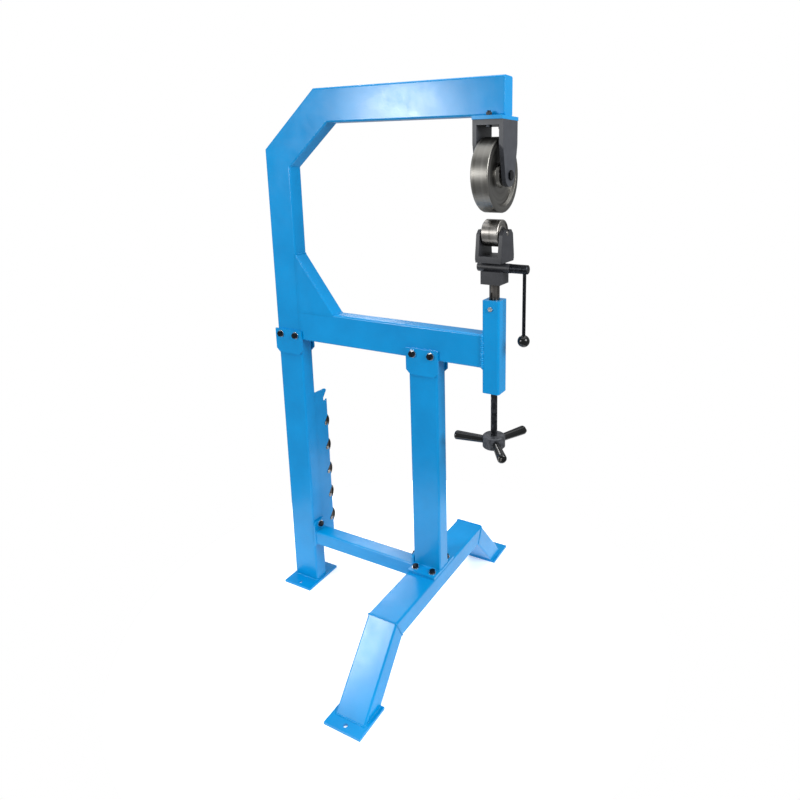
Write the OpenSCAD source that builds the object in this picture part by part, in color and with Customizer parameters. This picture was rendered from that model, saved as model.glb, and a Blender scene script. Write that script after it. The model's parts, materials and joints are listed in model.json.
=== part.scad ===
// English wheel on a two-post stand: a C-shaped tube frame, a fixed upper wheel,
// a lower anvil on a screw-raised shaft with a quick-lift cam, and a rack of spare anvils.
// X runs along the throat, towards the wheels. Y runs along the wheels' rolling direction.
// The origin is on the floor, below the middle of the machine's outline.

/* [Frame] */
// Height of the top arm above the floor
overall_h = 1745; // [1650:5:1850]
// Depth from the wheels' centre line to the back tube
throat = 711; // [600:1:900]
// Height of the throat between the two arms
throat_h = 603; // [597:1:640]
// Height of the frame tube's section, in the plane of the frame
tube_h = 102; // [90:1:110]
// Width of the frame tube's section, across the frame
tube_w = 51; // [46:1:60]
// Wall of every square and rectangular tube
tube_wall = 5; // [3:0.5:6]
// Outer corner radius of the tubes
tube_r = 6; // [5.5:0.5:8]
// Height of the upper corner's inner slope
corner_drop = 132; // [100:2:160]
// Slope of the upper corner tube above the horizontal
corner_angle = 40; // [38:1:50]
// Depth of the upper corner tube's section
corner_depth = 109; // [102:1:115]
// Length of the lower inside corner's gusset along the arm
gusset_l = 143; // [100:1:180]
// Height of the lower inside corner's gusset up the back tube
gusset_h = 190; // [140:1:220]
// Sheet thickness of the gusset
gusset_t = 5; // [3:1:8]
// Reach of the top arm in front of the wheels' centre line
arm_reach = 39; // [34:1:60]
// Thickness of the top arm's end cap
cap_t = 5; // [3:1:8]

/* [Stand] */
// Distance from the wheels' centre line to the rear face of the front leg
leg_back = 281; // [200:1:400]
// Height of the cross foot's top face
foot_top = 210; // [190:1:260]
// Height of the cross foot tube's section
foot_h = 60; // [50:1:70]
// Half width of the cross foot's level part, at its top edge
foot_knee = 280; // [240:5:320]
// Half width of the cross foot where its sloping legs reach the floor plates
foot_reach = 448; // [420:1:500]
// Thickness of the floor plates
floor_plate_t = 8; // [6:1:12]
// Ledge of the front floor plates beyond the sloping legs
floor_ledge = 37; // [26:1:50]
// Margin of the front floor plates in front of and behind the sloping legs
floor_margin = 11; // [0:1:20]
// Half length of the rear floor plate
rear_plate_y = 76; // [70:1:110]
// Margin of the rear floor plate in front of and behind the post
rear_plate_margin = 8; // [4:1:20]
// Diameter of the holes for the floor bolts
floor_hole_d = 13; // [9:1:14]
// Distance of a floor bolt hole from the end of its plate
floor_hole_in = 18; // [12:1:20]
// Side of the brace's square tube
brace_w = 51; // [40:1:56]
// Height of the brace's underside
brace_bottom = 161; // [150:1:170]
// Thickness of the brace's end plates
brace_plate_t = 8; // [6:1:12]
// Height of an end plate above the brace's top face
brace_plate_up = 36; // [32:1:44]
// Height of the brace's bolts above its top face
brace_bolt_up = 21; // [19:1:24]
// Thickness of the front leg's base flange
flange_t = 10; // [6:1:14]
// Half length of the front leg's base flange
flange_y = 66; // [60:1:80]

/* [Joint plates] */
// Thickness of the plates that join the posts to the lower arm
ear_t = 6; // [4:1:10]
// Height of a plate above the arm's underside
ear_up = 32; // [28:1:45]
// Height of a plate below the arm's underside
ear_down = 52; // [40:1:70]
// Overhang of a plate on each side of its post
ear_over = 6; // [2:1:12]
// Leg of the plate's lower corner cuts
ear_cut = 14; // [6:1:20]
// Height of the joint bolts above the arm's underside
ear_bolt_up = 15; // [13:1:18]
// Distance between the two bolts of a joint
bolt_pitch = 64; // [50:1:70]
// Diameter of the stand's bolts
bolt_d = 12; // [8:1:12]

/* [Upper wheel] */
// Diameter of the upper wheel
wheel_d = 203; // [180:1:210]
// Width of both wheels
wheel_w = 51; // [40:1:54]
// Height of the upper wheel's axle below the top arm's flange
axle_drop = 144; // [140:1:170]
// Diameter of the upper axle
axle_d = 17; // [15:1:20]
// Width of the upper wheel's bearings
axle_bearing_w = 12; // [8:1:14]
// Outer diameter of the upper wheel's bearings
axle_bearing_d = 40; // [35:1:47]
// Thickness of the top arm's flange
fork_flange_t = 10; // [8:1:12]
// Half length of the flange along the frame
fork_flange_x = 45; // [44:1:52]
// Half length of the flange across the frame
fork_flange_y = 53; // [50:1:60]
// Thickness of the fork's crown
fork_crown_t = 14; // [10:1:16]
// Thickness of the fork's cheeks
fork_cheek_t = 12; // [8:1:14]
// Half width of the gap between the fork's cheeks
fork_gap = 33; // [30:0.5:36]
// Half width of a cheek at the crown
fork_half = 48; // [42:1:50]
// Depth over which a cheek keeps its full width
fork_shoulder = 62; // [40:1:75]
// Radius of a cheek's round end
fork_end_r = 31; // [24:1:36]

/* [Anvil and yoke] */
// Gap between the wheels with the lever down
wheel_gap = 18; // [17.5:0.5:30]
// Diameter of the anvils
anvil_d = 76; // [70:1:80]
// Diameter of the anvils' axles
anvil_axle_d = 15; // [12:1:16]
// Outer diameter of the anvils' bearings
anvil_bearing_d = 35; // [32:1:38]
// Width of the anvils' bearings
anvil_bearing_w = 11; // [8:1:12]
// Half width of the gap between the yoke's cheeks
yoke_gap = 29; // [28:0.5:32]
// Thickness of the yoke's cheeks
yoke_cheek_t = 11; // [8:1:14]
// Depth of the yoke's underside below the anvil's axle
yoke_drop = 80; // [74:1:95]
// Thickness of the yoke's base
yoke_base_t = 18; // [14:1:22]
// Height of the yoke's cheeks above the anvil's axle
yoke_rise = 10; // [8:1:14]
// Half width of the yoke at its base
yoke_half = 44; // [40:1:48]
// Half width of a yoke cheek at its top
yoke_top_half = 30; // [24:1:36]

/* [Quick-lift cam] */
// Lift of the yoke as the lever swings up
cam_lift = 5; // [3:0.5:5.5]
// Swing of the lever
lever_swing = 90; // [80:5:90]
// Diameter of the cam shaft
cam_d = 20.9; // [20:0.1:22]
// Least height of the cam's face above its axis
cam_low = 4.5; // [4:0.1:4.5]
// Wall of the cam barrel
barrel_wall = 3; // [2.5:0.5:4]
// Half length of the cam barrel
barrel_half = 50; // [44:1:56]
// Gap between the cam barrel and the yoke with the lever down
barrel_gap = 3.5; // [2:0.5:5]
// Diameter of the follower under the yoke
follower_d = 14; // [12:1:16]
// Length of the lever's hub
hub_l = 52; // [45:1:70]
// Diameter of the lever's hub
hub_d = 26; // [24:1:30]
// Distance from the hub's outer end to the lever's rod
rod_inset = 11; // [9:1:20]
// Diameter of the lever's rod
rod_d = 10; // [8:1:12]
// Distance from the cam's axis to the ball's centre
rod_l = 205; // [150:1:230]
// Diameter of the lever's ball
ball_d = 35; // [28:1:40]

/* [Lift and screw] */
// Side of the square lift block
block_w = 60; // [56:1:66]
// Height of the lift block
block_h = 37; // [30:1:44]
// Depth of the barrel's seat in the lift block
seat_depth = 4.5; // [3:0.5:6]
// Diameter of the lift shaft
shaft_d = 30; // [24:1:32]
// Length of the lift shaft below its block
shaft_l = 226; // [200:1:230]
// Side of the square guide tube
guide_w = 54; // [48:1:60]
// Height of the guide tube above the lower arm
guide_up = 102; // [90:1:104]
// Length of the guide tube below the lower arm
guide_down = 74; // [50:1:110]
// Thickness of the guide tube's top plate
guide_plate_t = 6; // [4:1:8]
// Length of each guide bushing
bushing_l = 50; // [35:1:60]
// Diameter of the adjusting screw
screw_d = 20; // [16:1:22]
// Length of the screw's nut in the guide tube
screw_nut_l = 30; // [20:1:40]
// Length of screw that shows between the guide tube and the star hub
screw_show = 138; // [100:1:160]
// Diameter of the swivel pin at the screw's top
swivel_d = 12; // [10:1:14]
// Length of the swivel pin
swivel_l = 20; // [15:1:25]
// Travel of the lift above its place
lift_up = 11.5; // [5:0.5:12]
// Travel of the lift below its place
lift_down = 40; // [20:1:40]

/* [Star handle] */
// Diameter of the star hub
star_d = 68; // [54:1:76]
// Height of the star hub
star_h = 38; // [30:1:44]
// Distance from the screw's axis to the ends of the grips
grip_reach = 126; // [100:1:150]
// Diameter of a grip at the hub
grip_d0 = 23; // [18:1:26]
// Diameter of a grip at its end
grip_d1 = 28; // [22:1:34]
// Turn of the first grip about the screw
grip_turn = 66; // [0:0.5:119]

/* [Anvil rack] */
// Number of places in the rack
rack_places = 6; // [5:1:6]
// Distance between two places
rack_pitch = 96; // [90:1:98]
// Height of the rack's upper end
rack_top = 731; // [700:1:860]
// Outer width of the rack along the frame
rack_w = 76; // [76:1:80]
// Sheet thickness of the rack
rack_t = 4; // [3:0.5:5]
// Reach of the rack's flanges beyond the post
rack_reach = 58; // [56:1:66]
// Distance from a flange's outer edge to an axle's centre
rack_axle_in = 10; // [9:0.5:12]
// Height of a notch's mouth above the axle's centre
notch_rise = 30; // [24:1:34]
// Distance from the rack's upper end down to the first axle place
rack_first = 38; // [36:1:42]

/* [Hidden] */
$fn = 96;

frame_blue = "#1290d6";
cast_grey = "#46484c";
bare_steel = "#a9abae";
dark_steel = "#3c3e42";
bolt_black = "#26292e";
grip_black = "#15171a";
bronze = "#b08d4e";

// Clearances: a sliding or turning fit, a fitted hole, a bolt's hole, a face that runs past another
fit_gap = 0.05;
seat_gap = 0.02;
bolt_gap = 0.4;
face_gap = 0.3;

// Heights and distances that follow from the driving sizes
arm_bottom = overall_h - tube_h;
lower_arm_top = arm_bottom - throat_h;
lower_arm_bottom = lower_arm_top - tube_h;
back_x = -throat - tube_h;
leg_x = -leg_back;
post_mid = back_x + tube_h / 2;
leg_mid = leg_x + tube_h / 2;
flange_bottom = arm_bottom - fork_flange_t;
axle_z = flange_bottom - axle_drop;
anvil_z = axle_z - wheel_d / 2 - wheel_gap - anvil_d / 2;
yoke_z = anvil_z - yoke_drop;
barrel_r = cam_d / 2 + fit_gap + barrel_wall;
cam_z = yoke_z - barrel_gap - barrel_r;
block_top = cam_z - barrel_r + seat_depth;
block_z = block_top - block_h;
shaft_z = block_z - shaft_l;
guide_top = lower_arm_top + guide_up;
guide_bottom = lower_arm_bottom - guide_down;
star_top = guide_bottom - screw_show;
hub_x = barrel_half + face_gap;
rod_x = hub_x + hub_l - rod_inset;
foot_plate_end = foot_reach + floor_ledge;
foot_slope = atan2(foot_top - floor_plate_t, foot_reach - foot_knee);
foot_inner = foot_reach - foot_h / sin(foot_slope);
brace_top = brace_bottom + brace_w;
rack_x1 = -throat;
rack_x0 = rack_x1 - rack_w;
rack_mid = (rack_x0 + rack_x1) / 2;
rack_y = tube_w / 2;
rack_axle_y = rack_y + rack_reach - rack_axle_in;
anvil_axle_l = 2 * (yoke_gap + yoke_cheek_t);
function place_z(i) = rack_top - rack_first - i * rack_pitch;
rack_bottom = place_z(rack_places - 1) - rack_pitch + rack_first;

// Points where the upper corner's inner and outer slopes meet the back tube and the arm
inner_low = [-throat, arm_bottom - corner_drop];
inner_high = [-throat + corner_drop / tan(corner_angle), arm_bottom];
outer_low = [back_x, inner_low[1] + corner_depth / cos(corner_angle) - tube_h * tan(corner_angle)];
outer_high = [inner_high[0] + tube_h / tan(corner_angle) - corner_depth / sin(corner_angle), overall_h];
corner_low = (inner_low + outer_low) / 2;
corner_high = (inner_high + outer_high) / 2;
lower_mitre = atan2(outer_low[1] - inner_low[1], tube_h);
upper_mitre = atan2(inner_high[0] - outer_high[0], tube_h);

// Cross foot: half of its bend at each knee, and half the length of its beam's centre line
knee_tilt = foot_slope / 2;
beam_half = foot_knee - foot_h / 2 * tan(knee_tilt);

// The outline's ends set the origin
outline_x0 = back_x - rear_plate_margin;
outline_x1 = hub_x + hub_l;
origin_x = -(outline_x0 + outline_x1) / 2;

// Bolt sizes that follow the bolt's diameter
function head_af(d) = 1.5 * d;
function head_h(d) = 0.62 * d;
function nut_h(d) = 0.85 * d;
washer_t = 2.5;
washer_d = 2 * bolt_d;
bolt_hole_r = (bolt_d + bolt_gap) / 2;
bolt_end = 4;
base_bolt_y = (tube_w / 2 + flange_y) / 2;
brace_seats = [[-throat + brace_plate_t + washer_t, 1], [leg_x - brace_plate_t - washer_t, -1]];

// Brace end plates: their margin round the brace, their skirt below it and their corner cuts
brace_margin = 3;
brace_skirt = 6;
brace_cut = 10;

// Fork: its bolts, and the axle's head, nut and thread
fork_bolt_d = 10;
fork_bolt_y = (tube_w / 2 + fork_flange_y) / 2;
axle_head_af = 24;
axle_head_h = 6;
axle_nut_h = 12;
axle_thread_l = 16;
axle_end = fork_gap + fork_cheek_t;

// Wheels: the hub's wall round a bearing, the shoulder behind it and the turned edge
hub_wall = 5;
bearing_lip = 5;
wheel_edge = 2;
wheel_dish = 9;
wheel_rim = 17;
spacer_wall = 4;

// Dowels that keep the yoke in line: place, reach into the yoke and seat in the block
dowel_d = 8;
dowel_x = 20;
dowel_y = 21;
dowel_up = 12;
dowel_seat = 18;
dowel_reach = yoke_z - block_top + dowel_up;
follower_step = 2;
follower_pin_l = 11.5;

// Lift shaft: its spigot, its keyway and the set screw that runs there
spigot_l = 12;
spigot_step = 4;
set_screw_d = 8;
set_screw_z = guide_top - 24;
set_screw_af = 13;
set_screw_head = 4;
keyway_w = set_screw_d + bolt_gap;
keyway_depth = 4;
keyway_over = 6;

// Guide tube: the bushings' fit in it, and the plate's hole round the shaft
guide_inner = guide_w - 2 * tube_wall - 0.2;
guide_inner_r = 1.5;
guide_hole_r = shaft_d / 2 + 0.5;
guide_chamfer = 1.5;
low_bushing_z = guide_bottom + screw_nut_l + lift_down + 62;

// Cam and lever: the cam's rise for each radian, the hub's bore and the rod's seats
cam_rate = cam_lift / (lever_swing * PI / 180);
cam_side = 1.5;
rod_bore_r = 7;
hub_edge = 1.5;
rod_sink = 4;

// Star handle: its height and the grips' pins
grip_z = star_top - star_h / 2;
grip_pin_r = 6;
grip_sink = 12;
star_edge = 3;
grip_end = 7;

// Rack: the flanges' round corner and the notches' lip
rack_corner = 12;
notch_lip = 3;
axle_edge = 1;

// Yoke cheeks' corner cuts
yoke_corner = 6;

// Moves a module from the wheels' centre line to the origin
module placed() {
    translate([origin_x, 0, 0]) children();
}

// Rounded rectangle, centred
module rounded_rect(w, h, r) {
    square([w - 2 * r, h], center = true);
    square([w, h - 2 * r], center = true);
    for (sx = [-1, 1], sy = [-1, 1])
        translate([sx * (w / 2 - r), sy * (h / 2 - r)]) circle(r);
}

// Cross section of a tube, w along the first axis and h along the second
module tube_section(w, h) {
    difference() {
        rounded_rect(w, h, tube_r);
        rounded_rect(w - 2 * tube_wall, h - 2 * tube_wall, tube_r - tube_wall);
    }
}

// Turns an outline drawn in Y and Z into a body that runs along X from x0 to x1
module along_x(x0, x1) {
    translate([x0, 0, 0]) rotate([90, 0, 90]) linear_extrude(x1 - x0) children();
}

// Turns an outline drawn in X and Z into a body that runs along Y from y0 to y1
module along_y(y0, y1) {
    translate([0, y1, 0]) rotate([90, 0, 0]) linear_extrude(y1 - y0) children();
}

// Tube along +X from the origin, with ends tilted about Y by the two angles
module mitred_tube(l, w, h, tilt0, tilt1) {
    difference() {
        along_x(-h, l + h) tube_section(w, h);
        rotate([0, tilt0, 0]) translate([-3 * h, -w, -2 * h]) cube([3 * h, 2 * w, 4 * h]);
        translate([l, 0, 0]) rotate([0, tilt1, 0]) translate([0, -w, -2 * h]) cube([3 * h, 2 * w, 4 * h]);
    }
}

// Round bar or hole along X, Y or Z, from a to b
module bar_x(r, a, b) { translate([a, 0, 0]) rotate([0, 90, 0]) cylinder(r = r, h = b - a); }
module bar_y(r, a, b) { translate([0, a, 0]) rotate([-90, 0, 0]) cylinder(r = r, h = b - a); }
module bar_z(r, a, b) { translate([0, 0, a]) cylinder(r = r, h = b - a); }

// Hexagon head or nut of width af across its flats, standing on z = 0
module hexagon(af, h) { cylinder(r = af / sqrt(3), h = h, $fn = 6); }

// Bolt from its head's seat at z = 0 down to z = -l
module hex_bolt(d, l) {
    hexagon(head_af(d), head_h(d));
    translate([0, 0, -l]) cylinder(d = d, h = l + head_h(d) / 2);
}

module ring(d_out, d_in, h) {
    difference() {
        cylinder(d = d_out, h = h);
        translate([0, 0, -1]) cylinder(d = d_in, h = h + 2);
    }
}

// Sealed ball bearing centred on the X axis, from x = 0 to x = w
module bearing(d_out, d_in, w) {
    race = (d_out - d_in) / 2;
    lip = 0.8;
    rotate([0, 90, 0]) rotate_extrude() polygon([
        [d_in / 2, 0], [d_in / 2 + race * 0.28, 0], [d_in / 2 + race * 0.28, lip],
        [d_out / 2 - race * 0.28, lip], [d_out / 2 - race * 0.28, 0], [d_out / 2, 0],
        [d_out / 2, w], [d_out / 2 - race * 0.28, w], [d_out / 2 - race * 0.28, w - lip],
        [d_in / 2 + race * 0.28, w - lip], [d_in / 2 + race * 0.28, w], [d_in / 2, w]
    ]);
}

/* Frame */

module top_arm() {
    color(frame_blue) placed()
        translate([corner_high[0], 0, corner_high[1]])
            mitred_tube(arm_reach - cap_t - corner_high[0], tube_w, tube_h, -upper_mitre, 0);
}

module upper_corner_tube() {
    color(frame_blue) placed()
        translate([corner_low[0], 0, corner_low[1]]) rotate([0, -corner_angle, 0])
            mitred_tube(norm(corner_high - corner_low), tube_w, corner_depth,
                        lower_mitre + corner_angle - 90, corner_angle - upper_mitre);
}

module back_tube() {
    color(frame_blue) placed() difference() {
        translate([post_mid, 0, lower_arm_bottom]) rotate([0, -90, 0])
            mitred_tube(corner_low[1] - lower_arm_bottom, tube_w, tube_h, 0, lower_mitre);
        joint_holes(post_mid, tube_w);
    }
}

// Folded gusset that closes the lower inside corner
module lower_corner_gusset() {
    slope = atan2(gusset_h, gusset_l);
    inset_x = gusset_t / sin(slope);
    inset_z = gusset_t / cos(slope);
    color(frame_blue) placed() translate([-throat, 0, lower_arm_top]) difference() {
        along_y(-tube_w / 2, tube_w / 2)
            polygon([[0, 0], [gusset_l, 0], [0, gusset_h]]);
        along_y(-tube_w / 2 + gusset_t, tube_w / 2 - gusset_t)
            polygon([
                [-1, -1], [gusset_l - inset_x, -1], [gusset_l - inset_x, 0],
                [0, gusset_h - inset_z], [-1, gusset_h - inset_z]
            ]);
    }
}

module lower_arm() {
    color(frame_blue) placed() difference() {
        translate([0, 0, lower_arm_top - tube_h / 2])
            along_x(-throat, -guide_w / 2) tube_section(tube_w, tube_h);
        joint_holes(leg_mid, tube_w);
    }
}

// Holes for the two bolts of a joint, through a width w
module joint_holes(mid, w) {
    for (s = [-1, 1])
        translate([mid + s * bolt_pitch / 2, 0, lower_arm_bottom + ear_bolt_up])
            bar_y(bolt_hole_r, -w, w);
}

module guide_tube() {
    color(frame_blue) placed() difference() {
        translate([0, 0, guide_bottom]) linear_extrude(guide_top - guide_plate_t - guide_bottom)
            tube_section(guide_w, guide_w);
        translate([0, 0, set_screw_z]) bar_y(set_screw_d / 2 + fit_gap, -guide_w, 0);
    }
}

// Plate that closes the guide tube round the lift shaft
module guide_top_plate() {
    color(frame_blue) placed() translate([0, 0, guide_top - guide_plate_t]) difference() {
        linear_extrude(guide_plate_t) rounded_rect(guide_w, guide_w, tube_r);
        bar_z(guide_hole_r, -1, guide_plate_t + 1);
        translate([0, 0, guide_plate_t - guide_chamfer])
            cylinder(r1 = guide_hole_r, r2 = guide_hole_r + 2 * guide_chamfer, h = 2 * guide_chamfer);
    }
}

module arm_end_cap() {
    color(frame_blue) placed()
        translate([0, 0, overall_h - tube_h / 2])
            along_x(arm_reach - cap_t, arm_reach) rounded_rect(tube_w, tube_h, tube_r);
}

// Flange under the top arm's front end, which carries the fork
module fork_flange() {
    color(frame_blue) placed() difference() {
        translate([-fork_flange_x, -fork_flange_y, flange_bottom])
            cube([2 * fork_flange_x, 2 * fork_flange_y, fork_flange_t]);
        fork_bolt_holes();
    }
}

module fork_bolt_holes() {
    for (s = [-1, 1])
        translate([0, s * fork_bolt_y, 0])
            bar_z((fork_bolt_d + bolt_gap) / 2, flange_bottom - 2 * fork_crown_t, arm_bottom + 1);
}

/* Stand */

module rear_post() {
    color(frame_blue) placed() difference() {
        translate([post_mid, 0, floor_plate_t])
            linear_extrude(lower_arm_bottom - floor_plate_t) tube_section(tube_h, tube_w);
        translate([0, 0, brace_top + brace_bolt_up]) bar_x(bolt_hole_r, -throat - tube_h / 2, -throat + 1);
    }
}

module front_leg() {
    color(frame_blue) placed() difference() {
        translate([leg_mid, 0, foot_top + flange_t])
            linear_extrude(lower_arm_bottom - foot_top - flange_t) tube_section(tube_h, tube_w);
        translate([0, 0, brace_top + brace_bolt_up]) bar_x(bolt_hole_r, leg_x - 1, leg_x + tube_h / 2);
    }
}

// Pair of plates on each post, lapped over the arm's sides and bolted through
module joint_plates() {
    half = tube_h / 2 + ear_over;
    color(frame_blue) placed() difference() {
        for (mid = [post_mid, leg_mid], s = [-1, 1])
            translate([mid, s * (tube_w + ear_t) / 2, lower_arm_bottom])
                along_y(-ear_t / 2, ear_t / 2) polygon([
                    [-half, ear_up], [-half, ear_cut - ear_down], [ear_cut - half, -ear_down],
                    [half - ear_cut, -ear_down], [half, ear_cut - ear_down], [half, ear_up]
                ]);
        for (mid = [post_mid, leg_mid]) joint_holes(mid, tube_w);
    }
}

module floor_plate(x0, x1, y0, y1, hole_ys) {
    difference() {
        translate([x0, y0, 0]) cube([x1 - x0, y1 - y0, floor_plate_t]);
        for (y = hole_ys) translate([(x0 + x1) / 2, y, 0]) bar_z(floor_hole_d / 2, -1, floor_plate_t + 1);
    }
}

module rear_foot_plate() {
    hole_y = rear_plate_y - floor_hole_in;
    color(frame_blue) placed()
        floor_plate(back_x - rear_plate_margin, -throat + rear_plate_margin,
                    -rear_plate_y, rear_plate_y, [-hole_y, hole_y]);
}

module cross_foot_beam() {
    color(frame_blue) placed() difference() {
        translate([leg_mid, beam_half, foot_top - foot_h / 2]) rotate([0, 0, -90])
            mitred_tube(2 * beam_half, tube_h, foot_h, -knee_tilt, knee_tilt);
        base_bolt_holes();
    }
}

module base_bolt_holes() {
    for (sx = [-1, 1], sy = [-1, 1])
        translate([leg_mid + sx * bolt_pitch / 2, sy * base_bolt_y, 0])
            bar_z(bolt_hole_r, foot_top - foot_h / 2, foot_top + 2 * flange_t);
}

// Sloping legs, mitred to the beam and cut level where they stand on their plates
module cross_foot_legs() {
    centre_z = foot_top - foot_h / 2;
    slant = (centre_z - floor_plate_t) / sin(foot_slope);
    color(frame_blue) placed() for (s = [0, 1]) mirror([0, s, 0])
        translate([leg_mid, -beam_half, centre_z]) rotate([0, 0, -90]) rotate([0, foot_slope, 0])
            mitred_tube(slant, tube_h, foot_h, -knee_tilt, 90 - foot_slope);
}

module cross_foot_plates() {
    hole_y = foot_plate_end - floor_hole_in;
    color(frame_blue) placed() for (s = [0, 1]) mirror([0, s, 0])
        floor_plate(leg_x - floor_margin, leg_x + tube_h + floor_margin,
                    foot_inner, foot_plate_end, [hole_y]);
}

// Flange welded to the front leg and bolted down on the cross foot
module leg_base_flange() {
    color(frame_blue) placed() difference() {
        translate([leg_x, -flange_y, foot_top]) cube([tube_h, 2 * flange_y, flange_t]);
        base_bolt_holes();
    }
}

module brace() {
    color(frame_blue) placed()
        translate([0, 0, brace_bottom + brace_w / 2])
            along_x(-throat + brace_plate_t, leg_x - brace_plate_t) tube_section(brace_w, brace_w);
}

module brace_end_plates() {
    half = brace_w / 2 + brace_margin;
    top = brace_w + brace_plate_up;
    color(frame_blue) placed() difference() {
        for (x = [-throat, leg_x - brace_plate_t])
            translate([0, 0, brace_bottom]) along_x(x, x + brace_plate_t) polygon([
                [-half, -brace_skirt], [half, -brace_skirt], [half, top - brace_cut],
                [half - brace_cut, top], [brace_cut - half, top], [-half, top - brace_cut]
            ]);
        translate([0, 0, brace_top + brace_bolt_up]) bar_x(bolt_hole_r, -throat - 1, leg_x + 1);
    }
}

/* Fasteners of the stand */

// Puts a joint's hardware on each of its bolts, on the near side (-1) or the far side (1)
module at_joint_bolts(side) {
    for (mid = [post_mid, leg_mid], s = [-1, 1])
        translate([mid + s * bolt_pitch / 2, side * (tube_w / 2 + ear_t), lower_arm_bottom + ear_bolt_up])
            rotate([-90 * side, 0, 0]) children();
}

module at_base_bolts(z) {
    for (sx = [-1, 1], sy = [-1, 1])
        translate([leg_mid + sx * bolt_pitch / 2, sy * base_bolt_y, z]) children();
}

module at_brace_bolts(out) {
    for (e = brace_seats)
        translate([e[0] - e[1] * out, 0, brace_top + brace_bolt_up]) rotate([0, 90 * e[1], 0]) children();
}

module joint_bolts() {
    grip = 2 * (tube_w / 2 + ear_t + washer_t);
    color(bolt_black) placed() at_joint_bolts(-1)
        translate([0, 0, washer_t]) hex_bolt(bolt_d, grip + nut_h(bolt_d) + bolt_end);
}

module base_bolts() {
    color(bolt_black) placed() at_base_bolts(foot_top + flange_t + washer_t)
        hex_bolt(bolt_d, washer_t + flange_t + tube_wall + nut_h(bolt_d) + bolt_end);
}

module brace_bolts() {
    color(bolt_black) placed() at_brace_bolts(0)
        hex_bolt(bolt_d, washer_t + brace_plate_t + tube_wall + nut_h(bolt_d) + bolt_end);
}

module stand_washers() {
    hole = bolt_d + 2 * fit_gap;
    color(bare_steel) placed() {
        for (side = [-1, 1]) at_joint_bolts(side) ring(washer_d, hole, washer_t);
        at_base_bolts(foot_top + flange_t) ring(washer_d, hole, washer_t);
        at_brace_bolts(washer_t) ring(washer_d, hole, washer_t);
    }
}

module stand_nut() {
    difference() {
        hexagon(head_af(bolt_d), nut_h(bolt_d));
        bar_z(bolt_d / 2 + seat_gap, -1, nut_h(bolt_d) + 1);
    }
}

module stand_nuts() {
    inner = washer_t + brace_plate_t + tube_wall + nut_h(bolt_d);
    color(bolt_black) placed() {
        at_joint_bolts(1) translate([0, 0, washer_t]) stand_nut();
        at_base_bolts(foot_top - tube_wall - nut_h(bolt_d)) stand_nut();
        at_brace_bolts(inner) stand_nut();
    }
}

/* Anvil rack */

module rack_back() {
    color(frame_blue) placed()
        translate([rack_x0 + rack_t, rack_y, rack_bottom])
            cube([rack_w - 2 * rack_t, rack_t, rack_top - rack_bottom]);
}

// Flange with a slanting notch for each axle
module rack_comb(x0) {
    edge = rack_y + rack_reach;
    r = anvil_axle_d / 2 + fit_gap;
    along_x(x0, x0 + rack_t) difference() {
        union() {
            translate([rack_y, rack_bottom]) square([rack_reach - rack_corner, rack_top - rack_bottom]);
            translate([rack_y, rack_bottom]) square([rack_reach, rack_top - rack_bottom - rack_corner]);
            translate([edge - rack_corner, rack_top - rack_corner]) circle(rack_corner);
        }
        for (i = [0 : rack_places - 1]) translate([rack_axle_y, place_z(i)]) {
            circle(r);
            polygon([
                [-r, 0], [-r, 2 * axle_edge + notch_lip], [rack_axle_in + 1, notch_rise],
                [rack_axle_in + 1, -notch_lip], [r * 0.8, -notch_lip - 1], [0, -r / 2]
            ]);
        }
    }
}

module rack_comb_front() { color(frame_blue) placed() rack_comb(rack_x1 - rack_t); }

module rack_comb_rear() { color(frame_blue) placed() rack_comb(rack_x0); }

module spare_axles() {
    color(bare_steel) placed() for (i = [1 : rack_places - 1])
        translate([rack_mid, rack_axle_y, place_z(i)]) axle_bar();
}

module axle_bar() {
    h = anvil_axle_l / 2;
    r = anvil_axle_d / 2;
    rotate([0, 90, 0]) rotate_extrude() polygon([
        [0, -h], [r - axle_edge, -h], [r, axle_edge - h], [r, h - axle_edge], [r - axle_edge, h], [0, h]
    ]);
}

// Outline of an anvil's tread: half its width against the tread's crown radius
function crown(x, radius) = radius == 0 ? 0 : radius - sqrt(radius * radius - x * x);

// Anvil about the X axis, whose tread has the given crown radius, or is flat for 0
module anvil(radius) {
    half = wheel_w / 2;
    flat = half - wheel_edge;
    steps = 12;
    r = anvil_d / 2;
    hub_r = anvil_bearing_d / 2 + hub_wall;
    pocket = 3;
    seat_r = anvil_bearing_d / 2 + seat_gap;
    bore_r = anvil_bearing_d / 2 - bearing_lip;
    inner = half - anvil_bearing_w;
    tread = [for (i = [0 : steps]) let (x = flat - 2 * flat * i / steps) [r - crown(x, radius), x]];
    rim_r = r - crown(flat, radius) - wheel_edge;
    rotate([0, 90, 0]) rotate_extrude() polygon(concat(
        [[bore_r, -inner], [seat_r, -inner], [seat_r, -half], [hub_r, -half],
         [hub_r + 1, pocket - half], [rim_r - 4, pocket - half], [rim_r - 3, -half], [rim_r, -half]],
        [for (i = [steps : -1 : 0]) tread[i]],
        [[rim_r, half], [rim_r - 3, half], [rim_r - 4, half - pocket], [hub_r + 1, half - pocket],
         [hub_r, half], [seat_r, half], [seat_r, inner], [bore_r, inner]]
    ));
}

module anvil_bearing_pair() {
    for (x = [-wheel_w / 2, wheel_w / 2 - anvil_bearing_w]) translate([x, 0, 0])
        bearing(anvil_bearing_d, anvil_axle_d + 2 * fit_gap, anvil_bearing_w);
}

// Spare anvil in place i of the rack, with its two bearings
module spare_anvil(i, radius) {
    color(bare_steel) placed() translate([rack_mid, rack_axle_y, place_z(i)]) {
        anvil(radius);
        anvil_bearing_pair();
    }
}

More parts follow.
